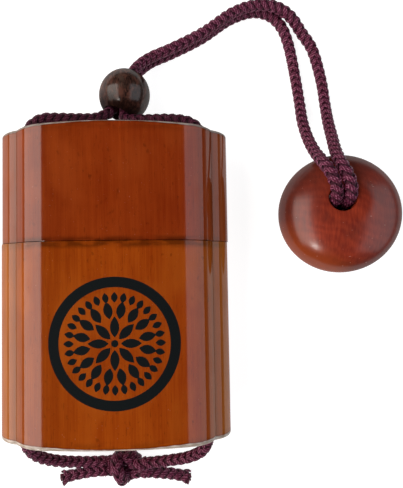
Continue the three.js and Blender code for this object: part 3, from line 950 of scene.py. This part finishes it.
def move_hole(bm):
    """Moves the button's hole off its middle: the rim stays round and the domes keep their form."""
    for vertex in bm.verts:
        flat = vertex.co.xy
        height = vertex.co.z
        inner = RECESS_RADIUS if height < 0 else NETSUKE_HOLE + NETSUKE_ROUNDING
        ahead = flat.normalized()
        leaning = NETSUKE_HOLE_AT.dot(ahead)
        room = math.sqrt(leaning**2 + NETSUKE_RADIUS**2 - NETSUKE_HOLE_AT.length_squared) - leaning
        share = max(0.0, (flat.length - inner) / (NETSUKE_RADIUS - inner))
        moved = NETSUKE_HOLE_AT + ahead * (min(flat.length, inner) + share * (room - inner))
        above_dome = abs(abs(height) - netsuke_rise(flat.length))
        on_dome = flat.length > inner - NEAR and above_dome < NEAR
        in_mouth = flat.length < inner and height > netsuke_rise(inner) - NETSUKE_ROUNDING
        if on_dome:
            height = math.copysign(netsuke_rise(moved.length), height)
        elif in_mouth:
            height += netsuke_rise((NETSUKE_HOLE_AT + ahead * inner).length) - netsuke_rise(inner)
        vertex.co = (*moved, height)


# The cord


def route_line(points, step):
    """Evenly spaced points on the centripetal Catmull-Rom curve through a route."""
    points = [Vector(p) for p in points]
    points = [2 * points[0] - points[1], *points, 2 * points[-1] - points[-2]]
    fine = []
    for a, b, c, d in zip(points, points[1:], points[2:], points[3:]):
        ta = math.sqrt((b - a).length)
        tb = ta + math.sqrt((c - b).length)
        tc = tb + math.sqrt((d - c).length)
        count = max(4, math.ceil((c - b).length / FINE_STEP))
        for i in range(count):
            t = ta + (tb - ta) * i / count
            ab = a.lerp(b, t / ta)
            bc = b.lerp(c, (t - ta) / (tb - ta))
            cd = c.lerp(d, (t - tb) / (tc - tb))
            fine.append(ab.lerp(bc, t / tb).lerp(bc.lerp(cd, (t - ta) / (tc - ta)), (t - ta) / (tb - ta)))
    fine.append(points[-2])
    return evenly(fine, step)


def evenly(line, step):
    """The same line with points one step apart."""
    lengths = [0.0]
    for a, b in zip(line, line[1:]):
        lengths.append(lengths[-1] + (b - a).length)
    count = round(lengths[-1] / step)
    spaced = []
    at = 0
    for i in range(count + 1):
        wanted = lengths[-1] * i / count
        while at < len(line) - 2 and lengths[at + 1] < wanted:
            at += 1
        spaced.append(line[at].lerp(line[at + 1], (wanted - lengths[at]) / (lengths[at + 1] - lengths[at])))
    return spaced


def frames_along(line):
    """Each point of a line with two directions across it, which turn as little as they can."""
    side = Vector(UP)
    frames = []
    for i, point in enumerate(line):
        ahead = (line[min(i + 1, len(line) - 1)] - line[max(i - 1, 0)]).normalized()
        side = (side - ahead * side.dot(ahead)).normalized()
        frames.append((point, side, ahead.cross(side)))
    return frames


def add_tube(bm, layers, rings, heights, start, step, lane):
    """Adds a closed tube through rings of points, and writes how high, how far along and how far round."""
    uv_layer, height_layer = layers
    sides = len(rings[0])
    columns = [[bm.verts.new(p) for p in ring] for ring in rings]
    for ring, height in zip(columns, heights):
        for vertex in ring:
            vertex[height_layer] = height
    for i, (ring, following) in enumerate(zip(columns, columns[1:])):
        for j in range(sides):
            face = bm.faces.new((ring[j], ring[(j + 1) % sides], following[(j + 1) % sides], following[j]))
            marks = ((i, j), (i, j + 1), (i + 1, j + 1), (i + 1, j))
            for corner, (along, around) in zip(face.loops, marks):
                corner[uv_layer].uv = (start + along * step, lane + around / sides)
    for ring in (columns[0][::-1], columns[-1]):
        for corner in bm.faces.new(ring).loops:
            corner[uv_layer].uv = (start, lane + 0.25)


def yarn_rings(centres, outward, width, height):
    """Oval rings across a yarn, flat against the cord, with the crest of each a quarter of the way round."""
    last = len(centres) - 1
    rings = []
    for i, (centre, away) in enumerate(zip(centres, outward)):
        ahead = (centres[min(i + 1, last)] - centres[max(i - 1, 0)]).normalized()
        across = ahead.cross(away).normalized()
        up = across.cross(ahead)
        angles = [2 * math.pi * j / YARN_SIDES for j in range(YARN_SIDES)]
        rings.append([centre + across * (width * math.cos(a)) + up * (height * math.sin(a)) for a in angles])
    return rings


def across_at(frame, angle):
    """The direction away from a line at an angle round it."""
    _, side, other = frame
    return side * math.cos(angle) + other * math.sin(angle)


def add_core(bm, layers, frames, start, step, size):
    """Adds the dark core that fills the braid."""
    angles = [2 * math.pi * j / CORE_SIDES for j in range(CORE_SIDES)]
    rings = [[f[0] + across_at(f, angle) * CORE_RADIUS * size for angle in angles] for f in frames]
    add_tube(bm, layers, rings, [0.0] * len(rings), start, step, CORE_LANE)


def add_tail(bm, layers, frames, start, step, size):
    """Adds the loose threads in the middle of a cut end."""
    for thread in range(TAIL_THREADS):
        away = TAIL_SPACING * size * math.sqrt(thread)
        outward = [across_at(frame, thread * TAIL_TURN) for frame in frames]
        centres = []
        for i, (frame, direction) in enumerate(zip(frames, outward)):
            centres.append(frame[0] + direction * away * (1 + TAIL_OPENING * i / len(frames)))
        rings = yarn_rings(centres, outward, TAIL_THREAD_RADIUS * size, TAIL_THREAD_RADIUS * size)
        add_tube(bm, layers, rings, [TAIL_HEIGHT] * len(rings), start, step, TAIL_LANE + thread)


def braid(line, settings, start=0.0, frayed=False, scale=1.0):
    """Eight strands of three yarns, four each way round, that pass over two and under two."""
    frames = frames_along(line)
    pitch = settings.braid_pitch / MM * scale
    size = settings.cord_diameter / MM / BRAIDED_DIAMETER * scale
    step = (line[1] - line[0]).length
    length = step * (len(line) - 1)
    chance = random.Random(round(start * 10))
    bm = bmesh.new()
    layers = (bm.loops.layers.uv.new("Yarn"), bm.verts.layers.float.new("height"))
    each_way = STRANDS_EACH_WAY * YARNS_IN_STRAND
    for lane in range(2 * each_way):
        direction = 1 if lane < each_way else -1
        strand, beside = divmod(lane % each_way, YARNS_IN_STRAND)
        first = 2 * math.pi * strand / STRANDS_EACH_WAY
        if direction < 0:
            first += math.pi / STRANDS_EACH_WAY
        sideways = beside - 1
        spread = chance.uniform(0.6, 1.4)
        shorter = chance.uniform(0, UNEVEN_BY) if frayed else 0
        centres = []
        outward = []
        heights = []
        for i, frame in enumerate(frames):
            if i * step > length - shorter:
                break
            along = start + i * step
            past = max(0.0, 1 - (length - i * step) / FRAY_LENGTH) if frayed else 0.0
            turn = direction * 2 * math.pi * along / pitch + first
            over = direction * math.cos(2 * turn - 2 * math.pi * along / BRAID_TWIST_LENGTH)
            radius = size * (BRAID_RADIUS + OVER_UNDER * over - OUTER_YARN_SINK * abs(sideways))
            away = across_at(frame, turn + direction * sideways * YARN_SPACING)
            centres.append(frame[0] + away * (radius * (1 + FRAY * spread * past**1.5)))
            outward.append(away)
            heights.append(0.5 + 0.5 * over - OUTER_YARN_SHADE * abs(sideways))
        rings = yarn_rings(centres, outward, YARN_WIDTH * size, YARN_HEIGHT * size)
        add_tube(bm, layers, rings, heights, start, step, lane)
    inner = len(frames) - (round(CORE_SHORTER_BY / step) if frayed else 0)
    add_core(bm, layers, frames[:inner], start, step, size)
    if frayed:
        add_tail(bm, layers, frames[inner - 1 :], start, step, size)
    return bm


def cord_piece(name, line, settings, material, nodes, start=0.0, frayed=False, scale=1.0):
    """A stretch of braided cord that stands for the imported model's plain one."""
    bm = braid(line, settings, start, frayed, scale)
    bmesh.ops.scale(bm, verts=bm.verts[:], vec=(MM, MM, MM))
    bmesh.ops.recalc_face_normals(bm, faces=bm.faces[:])
    piece = added_object(name, bm, [material], HARD_YARN_EDGE)
    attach(piece, BODY)
    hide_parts(*nodes)
    return piece


def stretch_of(line, first, last):
    """The part of a line from the point nearest one place to the point nearest another."""
    i = min(range(len(line)), key=lambda n: (line[n] - Vector(first)).length)
    j = min(range(len(line)), key=lambda n: (line[n] - Vector(last)).length)
    return line[i : j + 1], i


# Pieces


class INRO_OT_case_body(bpy.types.Operator):
    """Adds the lower part of the case"""

    bl_idname = "inro.case_body"
    bl_label = "Case body"

    def execute(self, context):
        settings = context.scene.inro_case
        colour = tuple(settings.body_colour)
        lacquer = lacquered_wood(
            "body_lacquer", colour, pale_rim_end=-HALF_HEIGHT, pale_rim_width=0.55, paleness=1.0, roundel=settings)
        materials = [lacquer, inside_wood("body_inside")]
        piece = finished_piece("case_body_lacquered", body_shell(settings), materials)
        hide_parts("case_body")
        return {"FINISHED"}


class INRO_OT_case_lid(bpy.types.Operator):
    """Adds the lid"""

    bl_idname = "inro.case_lid"
    bl_label = "Case lid"

    def execute(self, context):
        settings = context.scene.inro_case
        colour = tuple(settings.lid_colour)
        lacquer = lacquered_wood(
            "lid_lacquer", colour, pale_rim_end=HALF_HEIGHT, pale_rim_width=0.30, paleness=0.6,
            sideways=LID_SIDEWAYS, crown=LID_CROWN)
        materials = [lacquer, inside_wood("lid_inside")]
        piece = finished_piece("case_lid_lacquered", lid_shell(settings), materials)
        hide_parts("case_lid")
        return {"FINISHED"}


class INRO_OT_bead(bpy.types.Operator):
    """Adds the ojime bead"""

    bl_idname = "inro.bead"
    bl_label = "Ojime bead"

    def execute(self, context):
        trim = context.scene.inro_trim
        shape = turned([(r, y, 0) for r, y in bead_profile()], ALONG, BEAD_SIDES)
        bmesh.ops.transform(shape, matrix=BEAD_PLACE, verts=shape.verts[:])
        wood = bead_wood("bead_wood", tuple(trim.bead_colour))
        piece = finished_piece("ojime_bead_wood", shape, [wood])
        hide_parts("ojime_bead")
        return {"FINISHED"}


class INRO_OT_netsuke(bpy.types.Operator):
    """Adds the netsuke"""

    bl_idname = "inro.netsuke"
    bl_label = "Netsuke"

    def execute(self, context):
        trim = context.scene.inro_trim
        shape = turned([(r, 0, z) for r, z in netsuke_profile()], UP, NETSUKE_SIDES)
        move_hole(shape)
        bmesh.ops.scale(shape, verts=shape.verts[:], vec=NETSUKE_OVAL)
        bmesh.ops.transform(shape, matrix=NETSUKE_PLACE, verts=shape.verts[:])
        wood = netsuke_wood("netsuke_wood", tuple(trim.netsuke_colour))
        piece = finished_piece("netsuke_wood_button", shape, [wood])
        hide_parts("netsuke")
        return {"FINISHED"}


class INRO_OT_cord(bpy.types.Operator):
    """Adds the cord: two strands, the knot below the case, its cut ends and the knot behind the netsuke"""

    bl_idname = "inro.cord"
    bl_label = "Cord and knots"

    def execute(self, context):
        trim = context.scene.inro_trim
        silk = braid_silk("cord_braid", tuple(trim.cord_colour), tuple(trim.glint_colour))
        knots = []
        strands = []
        sides = {
            "left": (LEFT_STRAND, LEFT_TURN, LEFT_END, 1.0),
            "right": (RIGHT_STRAND, RIGHT_TURN, RIGHT_END, RIGHT_TURN_THICKNESS),
        }
        for side, (strand, hook, end, thickness) in sides.items():
            route = [Vector(p) for p in reversed(strand)]
            route += [Vector(p) + KNOT_CENTRE for p in hook]
            route += [Vector(p) for p in end]
            line = route_line(route, ROUTE_STEP)
            run, before_run = stretch_of(line, strand[-1], strand[0])
            turn, before_turn = stretch_of(line, strand[0], end[0])
            tail, before_tail = stretch_of(line, end[0], end[-1])
            cord = cord_piece(
                f"cord_{side}_braid", run, trim, silk, [f"cord_{side}"], before_run * ROUTE_STEP)
            strands.append((side, run, cord))
            knots.append(cord_piece(
                f"knot_{side}_turn", turn, trim, silk, ["cord_bottom_knot"], before_turn * ROUTE_STEP,
                scale=thickness))
            knots.append(cord_piece(
                f"cut_end_{side}", tail, trim, silk, [f"cord_end_{side}"], before_tail * ROUTE_STEP,
                frayed=True))
        knots.append(self.stopper(trim, silk))
        for side, run, piece in strands:
            length = sum((b - a).length for a, b in zip(run, run[1:])) * MM
            exit_x = (-CHANNEL_X if side == "left" else CHANNEL_X) * MM
            with_it = [k for k in knots if side in k.name or k is knots[-1]]
            [p * MM for p in run]
        return {"FINISHED"}

    def stopper(self, trim, silk):
        """A flattened overhand knot in the netsuke's recess."""
        rest = RECESS_DEPTH - netsuke_rise(RECESS_RADIUS) - STOPPER_GAP - STOPPER_HALF_HEIGHT
        points = []
        for i in range(STOPPER_POINTS + 1):
            t = 2 * math.pi * i / STOPPER_POINTS
            flat = Vector((math.sin(t) + 2 * math.sin(2 * t), math.cos(t) - 2 * math.cos(2 * t), 0))
            level = Vector((0, 0, rest - STOPPER_WEAVE * math.sin(3 * t)))
            points.append(NETSUKE_PLACE @ (flat * STOPPER_SIZE + level))
        return cord_piece(
            "stopper_knot_braid", route_line(points, STOPPER_STEP), trim, silk, ["cord_stopper_knot"],
            scale=STOPPER_THICKNESS)


class INRO_OT_stage(bpy.types.Operator):
    """Adds the floor, the soft studio light and the camera"""

    bl_idname = "inro.stage"
    bl_label = "Stage"

    def execute(self, context):
        scene = context.scene
        settings = scene.inro_stage
        bm = bmesh.new()
        bmesh.ops.create_grid(bm, x_segments=1, y_segments=1, size=1.5)
        floor = added_object("floor", bm, [pale_floor("pale_floor", settings.floor_glow)], HARD_EDGE)
        lights = {
            "softbox_left": ((-0.61, 0, 0.44), (1.0, 0.74), settings.left_brightness, (1, 0.93, 0.86)),
            "softbox_right": ((0.60, 0, 0.52), (1.0, 0.74), settings.right_brightness, (0.88, 0.94, 1)),
            "lamp_left": ((-0.33, -0.37, 0.48), (0.08, 0.13), settings.lamp_brightness, (1, 0.96, 0.9)),
        }
        for name, (place, size, brightness, colour) in lights.items():
            self.softbox(scene, name, place, size, brightness, colour)
        self.dark_ceiling(scene)
        scene.view_settings.view_transform = "Standard"
        self.add_camera(scene)
        return {"FINISHED"}

    def softbox(self, scene, name, place, size, brightness, colour):
        """A rectangular light that faces the case, as bright as told all over its face."""
        light = bpy.data.lights.new(name, "AREA")
        light.shape = "RECTANGLE"
        light.size, light.size_y = size
        light.energy = brightness * math.pi * light.size * light.size_y
        light.color = colour
        box = bpy.data.objects.new(name, light)
        box.location = place
        level = Vector((0, 0, 0.01)) - Vector(place)
        box.rotation_euler = level.to_track_quat("-Z", "Y").to_euler()
        scene.collection.objects.link(box)

    def dark_ceiling(self, scene):
        """A studio that is white near the floor and dark above, so that the lacquer shows no veil."""
        scene.world = bpy.data.worlds.new("studio")
        finish = Finish(scene.world)
        upwards = finish.split(finish.node("ShaderNodeTexCoord", output="Generated"))[2]
        strength = upwards.under(0.0, 0.2) * 0.2 + 0.02
        light = finish.node("ShaderNodeBackground", inputs={"Color": (1, 1, 1, 1), "Strength": strength})
        finish.node("ShaderNodeOutputWorld", inputs={"Surface": light})

    def add_camera(self, scene):
        """A camera straight above the case, as far away as the picture's perspective needs."""
        lens = bpy.data.cameras.new("camera")
        lens.sensor_width = 36
        lens.lens = 32.144
        lens.shift_x = 0.12699
        lens.shift_y = 0.03066
        lens.clip_start = 0.01
        camera = bpy.data.objects.new("camera", lens)
        camera.location = (0.0027959, 0.0020161, 0.1331776)
        camera.rotation_euler = (0.0382, -0.0313, -0.0126)
        scene.collection.objects.link(camera)
        scene.camera = camera


class INRO_PT_pieces(bpy.types.Panel):
    """Lists the inro's pieces and their settings"""

    bl_idname = "INRO_PT_pieces"
    bl_label = "Inro"
    bl_space_type = "VIEW_3D"
    bl_region_type = "UI"
    bl_category = "Inro"

    def draw(self, context):
        for operator in OPERATORS:
            self.layout.operator(operator.bl_idname)
        for owner in (context.scene.inro_case, context.scene.inro_trim, context.scene.inro_stage):
            for name in owner.__annotations__:
                self.layout.prop(owner, name)


GROUPS = {"inro_case": InroCaseSettings, "inro_trim": InroTrimSettings, "inro_stage": InroStageSettings}
OPERATORS = (INRO_OT_stage, INRO_OT_cord, INRO_OT_case_body, INRO_OT_case_lid, INRO_OT_bead, INRO_OT_netsuke)


def register():
    for made in (*GROUPS.values(), *OPERATORS, INRO_PT_pieces):
        bpy.utils.register_class(made)
    for name, group in GROUPS.items():
        setattr(bpy.types.Scene, name, bpy.props.PointerProperty(type=group))


def unregister():
    for name in GROUPS:
        delattr(bpy.types.Scene, name)
    for made in (INRO_PT_pieces, *OPERATORS, *GROUPS.values()):
        bpy.utils.unregister_class(made)


def main():
    register()
    bpy.ops.inro.stage()
    bpy.ops.inro.cord()
    bpy.ops.inro.case_body()
    bpy.ops.inro.case_lid()
    bpy.ops.inro.bead()
    bpy.ops.inro.netsuke()


if __name__ == "__main__":
    main()
